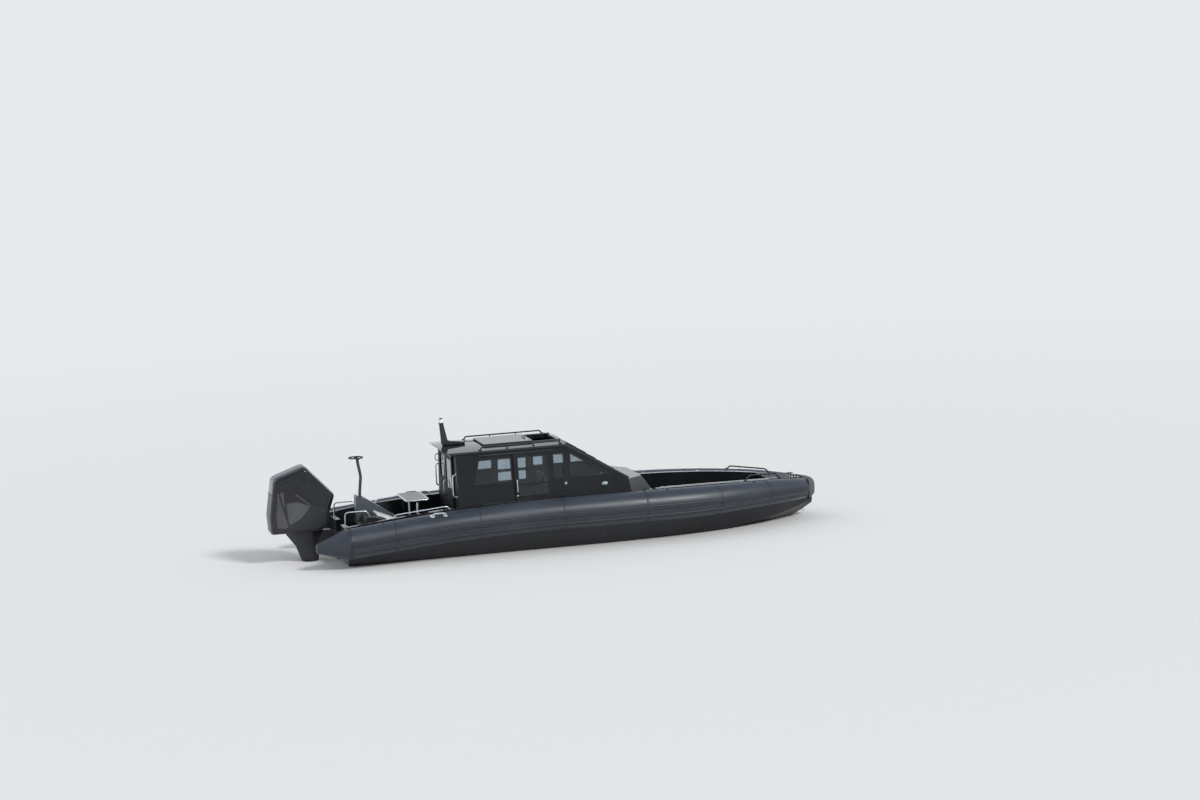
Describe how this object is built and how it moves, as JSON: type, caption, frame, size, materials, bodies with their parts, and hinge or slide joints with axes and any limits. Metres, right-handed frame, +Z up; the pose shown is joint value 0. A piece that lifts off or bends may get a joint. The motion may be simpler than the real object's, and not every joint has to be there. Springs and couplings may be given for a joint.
{
  "type": "rigid inflatable cabin boat",
  "caption": "Black rigid inflatable boat with a raked hardtop cabin, aft cockpit with table and tow post, and one large outboard engine.",
  "frame": {"origin": "on the static waterline amidships, on the centre plane", "axes": "+X towards the bow, +Y to port, +Z up"},
  "size_m": [10.7149, 3.197, 3.3934],
  "materials": {
    "hull_gloss": "gloss black gelcoat",
    "tube_fabric": "satin black coated fabric, welded seams",
    "strake_rubber": "moulded black rubber, matt",
    "cabin_paint": "gloss black paint",
    "tinted_glass": "dark tinted safety glass",
    "deck_coat": "dark grey anti-slip coating",
    "fairing_coat": "black moulded plastic",
    "seat_vinyl": "dark sewn vinyl",
    "pad_vinyl": "light grey sewn vinyl",
    "bright_alloy": "polished",
    "black_rail": "black powder coat",
    "table_board": "black laminate",
    "engine_gloss": "gloss black lacquer",
    "engine_satin": "satin dark grey lacquer",
    "propeller_steel": "polished steel",
    "white_lens": "white translucent plastic"
  },
  "bodies": {
    "root": {"aft_bench": "fairing_coat", "aft_wall": "cabin_paint", "bench_pads": "pad_vinyl", "bow_cleats": "bright_alloy", "bow_rails": "black_rail", "bulwark_port": "hull_gloss", "bulwark_starboard": "hull_gloss", "cabin_brow": "cabin_paint", "cabin_glass": "tinted_glass", "cabin_side_port": "cabin_paint", "cabin_side_starboard": "cabin_paint", "cabin_steps": "deck_coat", "clamp_bracket": "engine_satin", "door_runners": "black_rail", "fore_bulkhead": "deck_coat", "foredeck": "deck_coat", "hatch_runners": "black_rail", "helm_console": "fairing_coat", "hull": "hull_gloss", "mast": "fairing_coat", "mast_light": "white_lens", "roof": "cabin_paint", "roof_rails": "black_rail", "rub_strakes": "strake_rubber", "seat_backs": "seat_vinyl", "seat_cushions": "seat_vinyl", "seat_pedestals": "fairing_coat", "stern_rails": "black_rail", "table_board": "table_board", "table_frame": "bright_alloy", "tow_post": "black_rail", "tow_post_fairing": "fairing_coat", "tow_ring": "bright_alloy", "towing_eyes": "bright_alloy", "transom": "hull_gloss", "tube_nose": "tube_fabric", "tube_port": "tube_fabric", "tube_starboard": "tube_fabric", "windscreen_frame": "cabin_paint"},
    "aft_door": {"aft_door": "cabin_paint", "aft_door_glass": "tinted_glass"},
    "outboard": {"cowl_lower": "engine_satin", "cowl_upper": "engine_gloss", "engine_midsection": "engine_satin"},
    "prop_front": {"prop_front": "propeller_steel"},
    "prop_rear": {"prop_rear": "propeller_steel"},
    "roof_hatch": {"roof_hatch": "cabin_paint"},
    "side_door_port": {"side_door_glass_port": "tinted_glass", "side_door_port": "cabin_paint"},
    "side_door_starboard": {"side_door_glass_starboard": "tinted_glass", "side_door_starboard": "cabin_paint"},
    "gearcase": {"steering_leg": "engine_satin"},
    "steering_wheel": {"steering_wheel": "fairing_coat"}
  },
  "joints": [
    {"name": "roof_hatch_slide", "type": "slide", "parent": "root", "child": "roof_hatch", "axis": [1, 0, 0], "range_m": [0, 0.53]},
    {"name": "aft_door_slide", "type": "slide", "parent": "root", "child": "aft_door", "axis": [0, 1, 0], "range_m": [0, 0.6]},
    {"name": "side_door_starboard_slide", "type": "slide", "parent": "root", "child": "side_door_starboard", "axis": [-1, 0, 0], "range_m": [0, 0.64]},
    {"name": "side_door_port_slide", "type": "slide", "parent": "root", "child": "side_door_port", "axis": [-1, 0, 0], "range_m": [0, 0.64]},
    {"name": "engine_tilt", "type": "hinge", "parent": "root", "child": "outboard", "pos_m": [-4.5, 0, 0.44], "axis": [0, 1, 0], "range_deg": [-4, 24]},
    {"name": "leg_steer", "type": "hinge", "parent": "outboard", "child": "gearcase", "pos_m": [-4.96, 0, 0], "axis": [0, 0, 1], "range_deg": [-30, 30]},
    {"name": "helm_turn", "type": "hinge", "parent": "root", "child": "steering_wheel", "pos_m": [0.455, -0.47, 0.965], "axis": [-0.8829, 0, 0.4695], "range_deg": [-450, 450]},
    {"name": "prop_front_spin", "type": "hinge", "parent": "gearcase", "child": "prop_front", "pos_m": [-5.365, 0, -0.625], "axis": [1, 0, 0], "continuous": true},
    {"name": "prop_rear_spin", "type": "hinge", "parent": "gearcase", "child": "prop_rear", "pos_m": [-5.489, 0, -0.625], "axis": [1, 0, 0], "continuous": true}
  ],
  "couplings": [
    {"joint": "helm_turn", "follows": "leg_steer", "ratio": -15},
    {"joint": "prop_rear_spin", "follows": "prop_front_spin", "ratio": -1}
  ]
}
